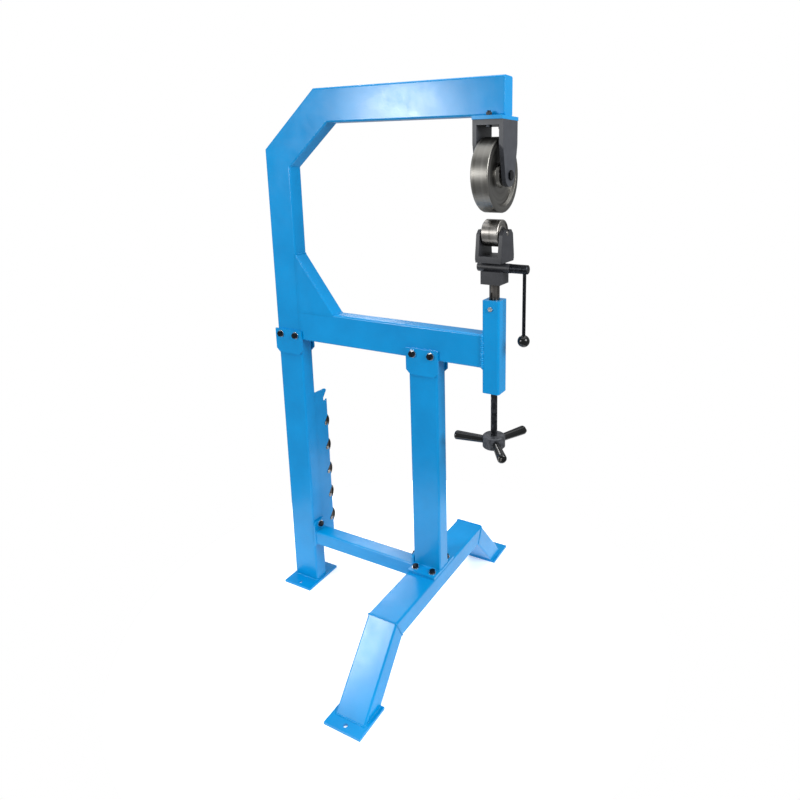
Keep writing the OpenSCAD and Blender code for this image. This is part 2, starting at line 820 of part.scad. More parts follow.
module spare_anvil_1() { spare_anvil(1, 75); }
module spare_anvil_2() { spare_anvil(2, 100); }
module spare_anvil_3() { spare_anvil(3, 150); }
module spare_anvil_4() { spare_anvil(4, 200); }
module spare_anvil_5() { spare_anvil(5, 300); }

/* Upper wheel */

// Crown and two tapered cheeks with round ends
module upper_fork() {
    outer = fork_gap + fork_cheek_t;
    reach = axle_drop - fork_shoulder;
    side = [fork_half, reach];
    dist = norm(side);
    tangent = atan2(side[1], side[0]) - acos(fork_end_r / dist);
    tx = fork_end_r * cos(tangent);
    tz = fork_end_r * sin(tangent);
    color(cast_grey) placed() difference() {
        union() {
            translate([-outer, -fork_half, flange_bottom - fork_crown_t])
                cube([2 * outer, 2 * fork_half, fork_crown_t]);
            for (x = [-outer, fork_gap]) translate([0, 0, axle_z]) along_x(x, x + fork_cheek_t) {
                polygon([
                    [-fork_half, axle_drop - 1], [-fork_half, reach], [-tx, tz], [tx, tz],
                    [fork_half, reach], [fork_half, axle_drop - 1]
                ]);
                circle(fork_end_r);
            }
        }
        fork_bolt_holes();
        translate([0, 0, axle_z]) bar_x(axle_d / 2 + fit_gap, -2 * outer, 2 * outer);
    }
}

// Two bolts up through the crown and the flange, with their nuts on top
module fork_bolts() {
    grip = fork_crown_t + fork_flange_t;
    color(bolt_black) placed() for (s = [-1, 1])
        translate([0, s * fork_bolt_y, flange_bottom - fork_crown_t]) {
            mirror([0, 0, 1]) hex_bolt(fork_bolt_d, grip + nut_h(fork_bolt_d) + bolt_end);
            translate([0, 0, grip]) difference() {
                hexagon(head_af(fork_bolt_d), nut_h(fork_bolt_d));
                bar_z(fork_bolt_d / 2 + seat_gap, -1, fork_bolt_d);
            }
        }
}

// Shouldered bolt, with its head in front
module upper_axle() {
    color(bolt_black) placed() translate([axle_end, 0, axle_z]) rotate([0, 90, 0]) {
        hexagon(axle_head_af, axle_head_h);
        bar_z(axle_d / 2, -2 * axle_end - axle_thread_l, axle_head_h / 2);
    }
}

module upper_axle_nut() {
    color(bolt_black) placed() translate([-axle_end, 0, axle_z]) rotate([0, -90, 0]) difference() {
        hexagon(axle_head_af, axle_nut_h);
        bar_z(axle_d / 2 + seat_gap, -1, axle_nut_h + 1);
    }
}

module upper_spacers() {
    l = fork_gap - wheel_w / 2 - 2 * fit_gap;
    color(bare_steel) placed() for (s = [-1, 1])
        translate([s * (fork_gap + wheel_w / 2) / 2, 0, axle_z]) rotate([0, 90, 0])
            translate([0, 0, -l / 2]) ring(axle_d + 2 * spacer_wall, axle_d + 2 * fit_gap, l);
}

// Wheel with a raised rim, a dished web and a bored hub
module upper_wheel() {
    half = wheel_w / 2;
    r = wheel_d / 2;
    rim_r = r - wheel_rim;
    hub_r = axle_bearing_d / 2 + 2 * hub_wall;
    seat_r = axle_bearing_d / 2 + seat_gap;
    bore_r = axle_bearing_d / 2 - bearing_lip;
    inner = half - axle_bearing_w;
    floor_x = half - wheel_dish;
    side = [
        [seat_r, half], [hub_r, half], [hub_r + 4, floor_x], [rim_r - 4, floor_x],
        [rim_r, half], [r - wheel_edge, half], [r, half - wheel_edge]
    ];
    color(bare_steel) placed() translate([0, 0, axle_z]) rotate([0, 90, 0]) rotate_extrude($fn = 180)
        polygon(concat(
            [[bore_r, inner], [seat_r, inner]], side,
            [for (i = [len(side) - 1 : -1 : 0]) [side[i][0], -side[i][1]]],
            [[seat_r, -inner], [bore_r, -inner]]
        ));
}

module upper_bearings() {
    color(dark_steel) placed() for (x = [-wheel_w / 2, wheel_w / 2 - axle_bearing_w])
        translate([x, 0, axle_z]) bearing(axle_bearing_d, axle_d + 2 * fit_gap, axle_bearing_w);
}

/* Yoke and anvil */

// Cheeks with open slots on a thick base
module anvil_yoke() {
    outer = yoke_gap + yoke_cheek_t;
    slot_r = anvil_axle_d / 2 + fit_gap;
    color(cast_grey) placed() difference() {
        union() {
            translate([-outer + 1, -yoke_half, yoke_z])
                cube([2 * outer - 2, 2 * yoke_half, yoke_base_t]);
            for (x = [-outer, yoke_gap]) translate([0, 0, anvil_z]) along_x(x, x + yoke_cheek_t) polygon([
                [yoke_corner - yoke_half, -yoke_drop], [yoke_half - yoke_corner, -yoke_drop],
                [yoke_half, yoke_corner - yoke_drop], [yoke_half, yoke_base_t - yoke_drop],
                [yoke_top_half + yoke_corner, yoke_rise - 2 * yoke_corner],
                [yoke_top_half - yoke_corner, yoke_rise], [yoke_corner - yoke_top_half, yoke_rise],
                [-yoke_top_half - yoke_corner, yoke_rise - 2 * yoke_corner],
                [-yoke_half, yoke_base_t - yoke_drop], [-yoke_half, yoke_corner - yoke_drop]
            ]);
        }
        translate([0, 0, anvil_z]) {
            bar_x(slot_r, -2 * outer, 2 * outer);
            translate([-2 * outer, -slot_r, 0]) cube([4 * outer, 2 * slot_r, 2 * yoke_rise]);
        }
        bar_z(follower_d / 2 - follower_step + seat_gap, yoke_z - 1, yoke_z + follower_pin_l + face_gap);
        at_dowels() bar_z(dowel_d / 2 + fit_gap, yoke_z - 1, block_top + dowel_reach + 1);
    }
}

module at_dowels() {
    for (s = [-1, 1]) translate([s * dowel_x, dowel_y, 0]) children();
}

// Steel follower that stands on the cam's face and carries the yoke
module yoke_follower() {
    color(bare_steel) placed() {
        bar_z(follower_d / 2, cam_z + cam_low + fit_gap, yoke_z);
        bar_z(follower_d / 2 - follower_step, yoke_z, yoke_z + follower_pin_l);
    }
}

module anvil_axle() {
    color(bare_steel) placed() translate([0, 0, anvil_z]) axle_bar();
}

module anvil_spacers() {
    l = yoke_gap - wheel_w / 2 - 2 * fit_gap;
    color(bare_steel) placed() for (s = [-1, 1])
        translate([s * (yoke_gap + wheel_w / 2) / 2, 0, anvil_z]) rotate([0, 90, 0])
            translate([0, 0, -l / 2]) ring(anvil_axle_d + 2 * spacer_wall, anvil_axle_d + 2 * fit_gap, l);
}

module anvil_wheel() { color(bare_steel) placed() translate([0, 0, anvil_z]) anvil(0); }

module anvil_bearings() { color(dark_steel) placed() translate([0, 0, anvil_z]) anvil_bearing_pair(); }

/* Lift */

module lift_block() {
    color(cast_grey) placed() difference() {
        translate([-block_w / 2, -block_w / 2, block_z]) cube([block_w, block_w, block_h]);
        translate([0, 0, cam_z]) bar_x(barrel_r + fit_gap, -block_w, block_w);
        at_dowels() bar_z(dowel_d / 2 + seat_gap, block_top - dowel_seat, block_top + 1);
        bar_z(shaft_d / 2 - spigot_step + seat_gap, block_z - 1, block_z + spigot_l + 1);
    }
}

// Barrel that the cam shaft turns in, with a hole on top for the follower
module cam_barrel() {
    color(cast_grey) placed() difference() {
        translate([0, 0, cam_z]) bar_x(barrel_r, -barrel_half, barrel_half);
        translate([0, 0, cam_z]) bar_x(cam_d / 2 + fit_gap, -barrel_half - 1, barrel_half + 1);
        bar_z(follower_d / 2 + fit_gap, cam_z, cam_z + 2 * barrel_r);
    }
}

// Round shaft with a keyway in front and a bore for the screw's swivel pin below
module lift_shaft() {
    color(bare_steel) placed() difference() {
        union() {
            bar_z(shaft_d / 2, shaft_z, block_z);
            bar_z(shaft_d / 2 - spigot_step, block_z, block_z + spigot_l);
        }
        translate([-keyway_w / 2, -shaft_d / 2 - 1, set_screw_z - lift_up - keyway_over])
            cube([keyway_w, keyway_depth + 1, lift_up + lift_down + 2 * keyway_over]);
        bar_z(swivel_d / 2 + fit_gap, shaft_z - 1, shaft_z + swivel_l + 1);
    }
}

module dowel_pins() {
    color(bare_steel) placed() at_dowels()
        bar_z(dowel_d / 2, block_top - dowel_seat + seat_gap, block_top + dowel_reach - 1);
}

// Points of the cam's face: its height above the axis grows evenly with the turn
function cam_point(a) = let (h = cam_low + cam_lift * a / lever_swing)
    [h * cos(a) - cam_rate * sin(a), h * sin(a) + cam_rate * cos(a)];

// Shaft with an even-rise cam milled into its middle, under the follower
module cam_shaft() {
    half = follower_d / 2 + cam_side;
    far = 2 * cam_d;
    first = cam_point(0);
    last = cam_point(lever_swing);
    end_dir = [-sin(lever_swing), cos(lever_swing)];
    color(dark_steel) placed() translate([0, 0, cam_z]) {
        difference() {
            bar_x(cam_d / 2, -barrel_half - 2, hub_x);
            cam_cut(half, first, last, end_dir, far);
        }
        bar_x(rod_bore_r, hub_x - 0.5, rod_x + 2);
    }
}

// Material taken off over the cam's face
module cam_cut(half, first, last, end_dir, far) {
    steps = 18;
    along_x(-half, half) rotate(90) mirror([0, 1]) polygon(concat(
        [[first[0], -far]],
        [for (i = [0 : steps]) cam_point(lever_swing * i / steps)],
        [last + far * end_dir, [far, far], [far, -far]]
    ));
}

module lever_hub() {
    color(grip_black) placed() translate([0, 0, cam_z]) difference() {
        translate([hub_x, 0, 0]) rotate([0, 90, 0]) rotate_extrude() polygon([
            [0, 0], [hub_d / 2 - hub_edge, 0], [hub_d / 2, hub_edge],
            [hub_d / 2, hub_l - hub_edge], [hub_d / 2 - hub_edge, hub_l], [0, hub_l]
        ]);
        bar_x(rod_bore_r + seat_gap, hub_x - 1, rod_x + 3);
        translate([rod_x, 0, 0]) bar_z(rod_d / 2 + seat_gap, -hub_d, -rod_bore_r - 0.5);
    }
}

module lever_rod() {
    color(grip_black) placed()
        translate([rod_x, 0, 0]) bar_z(rod_d / 2, cam_z - rod_l + rod_sink, cam_z - rod_bore_r - 1);
}

module lever_ball() {
    color(grip_black) placed() translate([rod_x, 0, cam_z - rod_l]) difference() {
        sphere(d = ball_d);
        bar_z(rod_d / 2 + seat_gap, rod_sink - 0.5, ball_d);
    }
}

/* Guide and screw */

module guide_bushings() {
    color(bronze) placed() difference() {
        for (z = [guide_top - guide_plate_t - bushing_l, low_bushing_z])
            translate([0, 0, z]) linear_extrude(bushing_l)
                rounded_rect(guide_inner, guide_inner, guide_inner_r);
        bar_z(shaft_d / 2 + fit_gap, guide_bottom, guide_top);
        translate([0, 0, set_screw_z]) bar_y(set_screw_d / 2 + fit_gap, -guide_w, 0);
    }
}

module screw_nut() {
    color(bronze) placed() difference() {
        translate([0, 0, guide_bottom])
            linear_extrude(screw_nut_l) rounded_rect(guide_inner, guide_inner, guide_inner_r);
        bar_z(screw_d / 2 + fit_gap, guide_bottom - 1, guide_bottom + screw_nut_l + 1);
    }
}

// Screw whose tip runs in the shaft's keyway
module set_screw() {
    color(bare_steel) placed() translate([0, 0, set_screw_z]) {
        bar_y(set_screw_d / 2, -guide_w / 2 - set_screw_head, -shaft_d / 2 + keyway_depth - 1);
        translate([0, -guide_w / 2, 0]) rotate([90, 0, 0]) hexagon(set_screw_af, set_screw_head);
    }
}

module adjusting_screw() {
    color(dark_steel) placed() {
        bar_z(screw_d / 2, star_top - star_h, shaft_z - fit_gap);
        bar_z(swivel_d / 2, shaft_z - 1, shaft_z + swivel_l);
    }
}

module star_hub() {
    r = star_d / 2;
    bore_r = screw_d / 2 + seat_gap;
    color(dark_steel) placed() difference() {
        translate([0, 0, star_top - star_h]) rotate_extrude() polygon([
            [bore_r, 0], [r - star_edge, 0], [r, star_edge],
            [r, star_h - star_edge], [r - star_edge, star_h], [bore_r, star_h]
        ]);
        at_grips() bar_x(grip_pin_r + seat_gap, r - grip_sink - 1, r + 1);
    }
}

module at_grips() {
    for (i = [0 : 2]) translate([0, 0, grip_z]) rotate([0, 0, grip_turn + 120 * i]) children();
}

// Three tapered grips with rounded, dimpled ends
module star_grips() {
    r = star_d / 2;
    l = grip_reach - r;
    top_r = grip_d1 / 2 - grip_end;
    color(grip_black) placed() at_grips() {
        bar_x(grip_pin_r, r - grip_sink, r + 1);
        translate([r, 0, 0]) rotate([0, 90, 0]) rotate_extrude() polygon(concat(
            [[0, face_gap], [grip_d0 / 2, face_gap]],
            [for (a = [0 : 15 : 90]) [top_r + grip_end * cos(a), l - grip_end + grip_end * sin(a)]],
            [[grip_d1 / 4, l - 2], [0, l - 2]]
        ));
    }
}

top_arm();
upper_corner_tube();
back_tube();
lower_corner_gusset();
lower_arm();
guide_tube();
guide_top_plate();
arm_end_cap();
fork_flange();
rear_post();
front_leg();
joint_plates();
rear_foot_plate();
cross_foot_beam();
cross_foot_legs();
cross_foot_plates();
leg_base_flange();
brace();
brace_end_plates();
joint_bolts();
base_bolts();
brace_bolts();
stand_washers();
stand_nuts();
rack_back();
rack_comb_front();
rack_comb_rear();
spare_axles();
spare_anvil_1();
spare_anvil_2();
spare_anvil_3();
spare_anvil_4();
spare_anvil_5();
upper_fork();
fork_bolts();
upper_axle();
upper_axle_nut();
upper_spacers();
upper_wheel();
upper_bearings();
anvil_yoke();
yoke_follower();
anvil_axle();
anvil_spacers();
anvil_wheel();
anvil_bearings();
lift_block();
cam_barrel();
lift_shaft();
dowel_pins();
cam_shaft();
lever_hub();
lever_rod();
lever_ball();
guide_bushings();
screw_nut();
set_screw();
adjusting_screw();
star_hub();
star_grips();
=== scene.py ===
import json
import math

import bmesh
import bpy
from mathutils import Matrix, Vector


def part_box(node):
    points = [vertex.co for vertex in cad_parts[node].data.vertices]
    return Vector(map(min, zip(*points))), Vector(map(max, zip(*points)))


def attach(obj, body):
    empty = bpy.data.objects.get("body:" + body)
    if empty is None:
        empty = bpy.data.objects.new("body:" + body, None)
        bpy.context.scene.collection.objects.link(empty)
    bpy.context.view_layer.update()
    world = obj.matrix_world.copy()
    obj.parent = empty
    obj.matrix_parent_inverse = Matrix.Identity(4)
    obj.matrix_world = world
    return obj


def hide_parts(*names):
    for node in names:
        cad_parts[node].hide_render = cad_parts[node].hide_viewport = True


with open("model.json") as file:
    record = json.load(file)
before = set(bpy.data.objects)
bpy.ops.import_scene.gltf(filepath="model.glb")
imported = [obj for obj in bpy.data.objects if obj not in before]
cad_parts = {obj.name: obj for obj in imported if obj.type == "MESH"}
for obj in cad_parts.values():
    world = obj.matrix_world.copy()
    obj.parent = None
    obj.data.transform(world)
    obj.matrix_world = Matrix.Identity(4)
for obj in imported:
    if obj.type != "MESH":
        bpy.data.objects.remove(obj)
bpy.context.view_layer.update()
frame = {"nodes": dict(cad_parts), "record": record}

bl_info = {
    "name": "English wheel",
    "version": (1, 0, 0),
    "blender": (4, 5, 0),
    "location": "3D View > Sidebar > English wheel",
    "description": "Dresses a stand-mounted english wheel in its paints, metals, welds and threads",
    "category": "Object",
}

RECORD = frame["record"]
BODY_OF = {node: body for body, nodes in RECORD["behaviour"]["bodies"].items() for node in nodes}

MM = 0.001
X, Y, Z = Vector((1, 0, 0)), Vector((0, 1, 0)), Vector((0, 0, 1))

# An edge whose faces turn by more than this is sharp
SHARP_EDGE = math.radians(34)
# The tubes' round corners, which the seams go round, and the depth of the grooves that they leave
TUBE_CORNER = 6 * MM
GROOVE = 6.5 * MM
# A filler strip goes this far into its neighbour
SINK = 0.3 * MM
# Distance between two rings of a weld bead, and from a seam's end to the plate's edge
BEAD_STEP = 1.6 * MM
SEAM_END = 4 * MM

# Pieces that are dressed alike
FLUSH_TUBES = ("back_tube", "upper_corner_tube", "top_arm", "lower_arm", "cross_foot_beam",
               "cross_foot_legs", "guide_tube")
TUBES = ("rear_post", "front_leg", "brace")
PLATES = ("fork_flange", "joint_plates", "rear_foot_plate", "cross_foot_plates",
          "leg_base_flange", "brace_end_plates")
RACK = ("rack_back", "rack_comb_front", "rack_comb_rear")
BLACK_BOLTS = ("joint_bolts", "base_bolts", "brace_bolts", "stand_nuts", "fork_bolts",
               "upper_axle", "upper_axle_nut")
LIFT_HEAD = ("anvil_yoke", "lift_block", "cam_barrel")
BRIGHT_PINS = ("spare_axles", "anvil_axle", "upper_spacers", "anvil_spacers", "yoke_follower", "dowel_pins")
ROLLERS = ("upper_wheel", "anvil_wheel") + tuple("spare_anvil_%d" % k for k in range(1, 6))


# Sizes and places read from the CAD nodes

def low(node):
    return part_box(node)[0]


def high(node):
    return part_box(node)[1]


def middle(node):
    lo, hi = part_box(node)
    return (lo + hi) / 2


# Nodes of a material

def linear(code):
    """sRGB hex to the linear values that Blender's sockets hold."""
    channels = [int(code[i:i + 2], 16) / 255 for i in (1, 3, 5)]
    return [c / 12.92 if c <= 0.04045 else ((c + 0.055) / 1.055) ** 2.4 for c in channels]


def add(tree, kind, inputs=None, **settings):
    """Adds a node with its settings, and its values and links by socket name or number."""
    made = tree.nodes.new(kind)
    for name, value in settings.items():
        setattr(made, name, value)
    for key, value in (inputs or {}).items():
        if isinstance(value, bpy.types.NodeSocket):
            tree.links.new(value, made.inputs[key])
        else:
            made.inputs[key].default_value = value
    return made


def new_material(name, **shader):
    """A material with one Principled shader, whose uniform values stand on its own sockets."""
    made = bpy.data.materials.new(name)
    made.use_nodes = True
    tree = made.node_tree
    tree.nodes.clear()
    values = {key.replace("_", " "): value for key, value in shader.items()}
    principled = add(tree, "ShaderNodeBsdfPrincipled", values)
    add(tree, "ShaderNodeOutputMaterial", {"Surface": principled.outputs[0]})
    made.diffuse_color = (0.5, 0.5, 0.5, 1)
    return made, tree, principled


def object_place(tree):
    """The Object coordinates, in metres."""
    return add(tree, "ShaderNodeTexCoord").outputs["Object"]


def per_metre(spacing_mm):
    """Scale of a pattern on Object coordinates whose marks are this far apart."""
    return 1 / (spacing_mm * MM)


def noise(tree, place, spacing_mm, detail=2.0, roughness=0.5):
    """Noise over a place, whose marks are this far apart."""
    made = add(tree, "ShaderNodeTexNoise", {"Vector": place, "Scale": per_metre(spacing_mm),
                                            "Detail": detail, "Roughness": roughness})
    return made.outputs["Fac"]


def noise_along(tree, length_socket, spacing_mm, detail=2.0):
    """Noise along one length, whose marks are this far apart."""
    made = add(tree, "ShaderNodeTexNoise", {"W": length_socket, "Scale": per_metre(spacing_mm),
                                            "Detail": detail}, noise_dimensions="1D")
    return made.outputs["Fac"]


def two_tone(tree, principled, value, first, second, start=0.35, end=0.65):
    """Base colour that drifts between two tones as the value runs from start to end."""
    ramp = add(tree, "ShaderNodeValToRGB", {"Fac": value})
    ramp.color_ramp.elements[0].position = start
    ramp.color_ramp.elements[0].color = (*first, 1)
    ramp.color_ramp.elements[1].position = end
    ramp.color_ramp.elements[1].color = (*second, 1)
    tree.links.new(ramp.outputs["Color"], principled.inputs["Base Color"])


def polish(tree, principled, value, smooth, rough, start=0.3, end=0.7):
    """Roughness that goes from smooth to rough as the value runs from start to end."""
    span = add(tree, "ShaderNodeMapRange", {"Value": value, "From Min": start, "From Max": end,
                                            "To Min": smooth, "To Max": rough})
    tree.links.new(span.outputs["Result"], principled.inputs["Roughness"])


def relief(tree, principled, height, strength, depth_mm):
    """Bump on the shader's normal, with its depth in millimetres."""
    bump = add(tree, "ShaderNodeBump", {"Strength": strength, "Distance": depth_mm * MM, "Height": height})
    tree.links.new(bump.outputs["Normal"], principled.inputs["Normal"])


# Materials

def powder_coat(colours):
    """Gloss powder coat: an azure that drifts a little in depth, with the orange peel of baked powder."""
    made, tree, principled = new_material("gloss_azure_powder_coat", Specular_IOR_Level=0.28)
    place = object_place(tree)
    drift = noise(tree, place, 160, detail=3.0, roughness=0.6)
    two_tone(tree, principled, drift, colours.paint_deep, colours.paint)
    # The coat lies a little flatter in some patches than in others, which breaks its highlights up
    flow = noise(tree, place, 55, detail=4.0, roughness=0.65)
    polish(tree, principled, flow, smooth=0.18, rough=0.27)
    # Orange peel is about 1.5 mm across; it is drawn at 4 mm so that it shows
    peel = noise(tree, place, 4)
    # The tube wall's long waves lie under it
    wave = noise(tree, place, 90, detail=1.0)
    wave_share = 6.0
    height = add(tree, "ShaderNodeMath", {0: wave, 1: wave_share, 2: peel}, operation="MULTIPLY_ADD")
    relief(tree, principled, height.outputs[0], strength=0.16, depth_mm=0.17)
    return made


def satin_grey(name, tones):
    """Satin grey paint on sawn and cast steel: slightly mottled, with a fine cast grain under the paint."""
    made, tree, principled = new_material(name, Roughness=0.44, Specular_IOR_Level=0.4)
    place = object_place(tree)
    mottle = noise(tree, place, 24, detail=5.0, roughness=0.6)
    two_tone(tree, principled, mottle, *tones, start=0.3, end=0.7)
    grain = noise(tree, place, 1.6, detail=3.0)
    relief(tree, principled, grain, strength=0.3, depth_mm=0.15)
    return made


def turned_steel(name, centre, tones, roughness):
    """Turned and polished bare steel: fine rings round the axle, and bands where the last cuts overlap."""
    made, tree, principled = new_material(name, Metallic=1.0)
    # Rings are centred on the axle, which runs along X
    centred = add(tree, "ShaderNodeVectorMath", {0: object_place(tree), 1: tuple(centre)},
                  operation="SUBTRACT")
    across = add(tree, "ShaderNodeVectorMath", {0: centred.outputs[0], 1: (0.0, 1.0, 1.0)},
                 operation="MULTIPLY")
    radius = add(tree, "ShaderNodeVectorMath", {0: across.outputs[0]}, operation="LENGTH").outputs["Value"]
    along = add(tree, "ShaderNodeSeparateXYZ", {0: centred.outputs[0]}).outputs["X"]
    # One length counts the rings on the tread and on the flanks, a little more slowly on the tread
    tread_share = 0.7
    sweep = add(tree, "ShaderNodeMath", {0: along, 1: tread_share, 2: radius},
                operation="MULTIPLY_ADD").outputs[0]
    band = noise_along(tree, sweep, 11, detail=1.0)
    two_tone(tree, principled, band, *tones, start=0.25, end=0.75)
    polish(tree, principled, band, roughness - 0.05, roughness + 0.07)
    # A finishing cut's feed is about 0.2 mm; it is drawn at 1.2 mm so that it shows
    feed = noise_along(tree, sweep, 1.2)
    relief(tree, principled, feed, strength=0.05, depth_mm=0.06)
    return made


def ground_steel(colours):
    """Ground and oiled round bar: brown-grey, with fine rings along Z and soft oil patches."""
    made, tree, principled = new_material("ground_oiled_steel", Metallic=1.0)
    place = object_place(tree)
    patches = noise(tree, place, 30, detail=4.0)
    two_tone(tree, principled, patches, colours.shaft_deep, colours.shaft)
    polish(tree, principled, patches, smooth=0.18, rough=0.38, start=0.0, end=1.0)
    height = add(tree, "ShaderNodeSeparateXYZ", {0: place}).outputs["Z"]
    rings = noise_along(tree, height, 0.8)
    relief(tree, principled, rings, strength=0.2, depth_mm=0.04)
    return made


def plain_metal(name, tones, roughness, patch_mm, grain_mm, mark=0.2, metallic=1.0):
    """Machined steel or bronze: patches of tone and polish over a fine grain."""
    made, tree, principled = new_material(name, Metallic=metallic)
    place = object_place(tree)
    patches = noise(tree, place, patch_mm, detail=4.0)
    two_tone(tree, principled, patches, *tones)
    polish(tree, principled, patches, roughness - 0.06, roughness + 0.08)
    grain = noise(tree, place, grain_mm, detail=3.0)
    relief(tree, principled, grain, mark, depth_mm=0.05)
    return made


def moulded_plastic(colours):
    """Compression-moulded phenolic: near black, with a deep gloss that ripples where the mould sank."""
    made, tree, principled = new_material("gloss_black_phenolic", Roughness=0.2, Specular_IOR_Level=0.35)
    place = object_place(tree)
    flow = noise(tree, place, 18, detail=3.0)
    two_tone(tree, principled, flow, colours.plastic_deep, colours.plastic)
    ripple = noise(tree, place, 12)
    relief(tree, principled, ripple, strength=0.1, depth_mm=0.3)
    return made


def studio_floor(colours):
    """Matt pale sweep: a barely visible cloud so that it isn't one flat tone."""
    # A faint glow keeps the floor as white as the wall behind it
    made, tree, principled = new_material("matt_pale_floor", Roughness=0.9, Emission_Color=(1, 1, 1, 1),
                                          Emission_Strength=0.28)
    cloud = noise(tree, object_place(tree), 900)
    lighter = [c * 1.01 for c in colours.floor]
    two_tone(tree, principled, cloud, colours.floor, lighter)
    return made


MADE = {}


def finish_named(name):
    """The object's finishes by name, each made once from the scene's colours."""
    if name in MADE:
        return MADE[name]
    c = bpy.context.scene.wheel_colours
    # Plain metals have their roughness, and their patches' and grain's sizes in millimetres
    makers = {
        "paint": lambda: powder_coat(c),
        "grey": lambda: satin_grey("satin_grey_paint_on_steel", (c.casting_deep, c.casting)),
        "deep grey": lambda: satin_grey("satin_charcoal_paint_on_steel", (c.head_deep, c.head)),
        "shaft": lambda: ground_steel(c),
        "black steel": lambda: plain_metal("black_oxide_steel", (c.black_deep, c.black), 0.34, 6, 0.8),
        "dark steel": lambda: plain_metal("dark_machined_steel", (c.dark_deep, c.dark), 0.34, 12, 0.9),
        "hub grey": lambda: plain_metal("phosphated_steel", (c.dark_deep, c.dark), 0.5, 10, 1.0, 0.3, 0.6),
        "zinc": lambda: plain_metal("bright_zinc_plate", (c.zinc_deep, c.zinc), 0.24, 5, 1.2),
        "pins": lambda: plain_metal("bright_drawn_steel", (c.steel_deep, c.steel), 0.26, 10, 0.8),
        "bronze": lambda: plain_metal("bearing_bronze", (c.bronze_deep, c.bronze), 0.35, 9, 1.0),
        "plastic": lambda: moulded_plastic(c),
        "floor": lambda: studio_floor(c),
    }
    MADE[name] = makers[name]()
    return MADE[name]


# Modelling helpers

def select_only(obj):
    bpy.ops.object.select_all(action="DESELECT")
    obj.select_set(True)
    bpy.context.view_layer.objects.active = obj


def apply_modifier(obj, kind, **settings):
    select_only(obj)
    bpy.ops.object.modifier_add(type=kind)
    modifier = obj.modifiers[-1]
    for name, value in settings.items():
        setattr(modifier, name, value)
    bpy.ops.object.modifier_apply(modifier=modifier.name)


def joined(pieces):
    """The pieces as one object, which is the first of them."""
    bpy.ops.object.select_all(action="DESELECT")
    for piece in pieces:
        piece.select_set(True)
    bpy.context.view_layer.objects.active = pieces[0]
    bpy.ops.object.join()
    return pieces[0]


def claim(obj, node, finish):
    """Gives a piece its finish and its body, and lets it stand for the CAD node."""
    obj.data.materials.clear()
    obj.data.materials.append(finish)
    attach(obj, BODY_OF[node])
    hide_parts(node)
    return obj


def copy_of(node):
    """Copy of a CAD node with its loose triangles merged."""
    same_place, same_plane = 0.002 * MM, math.radians(0.4)
    obj = bpy.data.objects.new(node + "_finished", frame["nodes"][node].data.copy())
    bpy.context.scene.collection.objects.link(obj)
    select_only(obj)
    if obj.data.has_custom_normals:
        bpy.ops.mesh.customdata_custom_splitnormals_clear()
    bpy.ops.object.mode_set(mode="EDIT")
    bpy.ops.mesh.select_all(action="SELECT")
    bpy.ops.mesh.remove_doubles(threshold=same_place)
    bpy.ops.mesh.dissolve_limited(angle_limit=same_plane)
    bpy.ops.object.mode_set(mode="OBJECT")
    return obj


def keep_flush(obj, planes):
    """Marks the edges that the bevel may break: the sharp ones in none of these (axis, place) planes."""
    near = 0.05 * MM
    mesh = bmesh.new()
    mesh.from_mesh(obj.data)
    weight = mesh.edges.layers.float.new("bevel_weight_edge")
    for edge in mesh.edges:
        buried = any(all(abs(v.co[axis] - place) < near for v in edge.verts) for axis, place in planes)
        sharp = edge.calc_face_angle(0) > SHARP_EDGE
        edge[weight] = 1.0 if sharp and not buried else 0.0
    mesh.to_mesh(obj.data)
    mesh.free()


def dressed(node, finish, edge_mm=0.0, smooth_deg=32.0, segments=2, flush=None):
    """Copy of a CAD node with broken edges, apart from those in its flush planes, and smooth round faces."""
    obj = copy_of(node)
    if edge_mm:
        if flush:
            keep_flush(obj, flush)
        apply_modifier(obj, "BEVEL", width=edge_mm * MM, segments=segments,
                       limit_method="WEIGHT" if flush else "ANGLE", angle_limit=SHARP_EDGE,
                       profile=0.5, use_clamp_overlap=True)
    select_only(obj)
    bpy.ops.object.shade_smooth_by_angle(angle=math.radians(smooth_deg))
    apply_modifier(obj, "WEIGHTED_NORMAL", keep_sharp=True)
    return claim(obj, node, finish)


# Welds

def outline(u, v, half_u, half_v, corner, step):
    """Closed path of points round a rectangle with round corners, in two directions."""
    runs = [(half_u - corner, half_v - corner, 0), (corner - half_u, half_v - corner, 90),
            (corner - half_u, corner - half_v, 180), (half_u - corner, corner - half_v, 270)]
    chords = 4
    turn = []
    for cu, cv, start in runs:
        for k in range(chords + 1):
            a = math.radians(start + 90 * k / chords)
            turn.append((cu + corner * math.cos(a), cv + corner * math.sin(a)))
    path = []
    for (u0, v0), (u1, v1) in zip(turn, turn[1:] + turn[:1]):
        n = max(1, round(math.hypot(u1 - u0, v1 - v0) / step))
        path += [(u0 + (u1 - u0) * k / n, v0 + (v1 - v0) * k / n) for k in range(n)]
    return [u * a + v * b for a, b in path]


def closed_seam(at, u, v, half_u, half_v):
    """Seam round a tube with round corners."""
    return [at + p for p in outline(u, v, half_u, half_v, TUBE_CORNER, BEAD_STEP)], True


def straight_seam(start, end):
    n = max(2, round((end - start).length / BEAD_STEP))
    return [start.lerp(end, k / n) for k in range(n + 1)], False


def level_seam(node, height):
    """Seam round an upright tube at this height."""
    lo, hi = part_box(node)
    at = Vector(((lo.x + hi.x) / 2, (lo.y + hi.y) / 2, height))
    return closed_seam(at, X, Y, (hi.x - lo.x) / 2, (hi.y - lo.y) / 2)


def end_seam(node, at_x):
    """Seam round a level tube at this place along X."""
    lo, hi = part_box(node)
    at = Vector((at_x, (lo.y + hi.y) / 2, (lo.z + hi.z) / 2))
    return closed_seam(at, Y, Z, (hi.y - lo.y) / 2, (hi.z - lo.z) / 2)


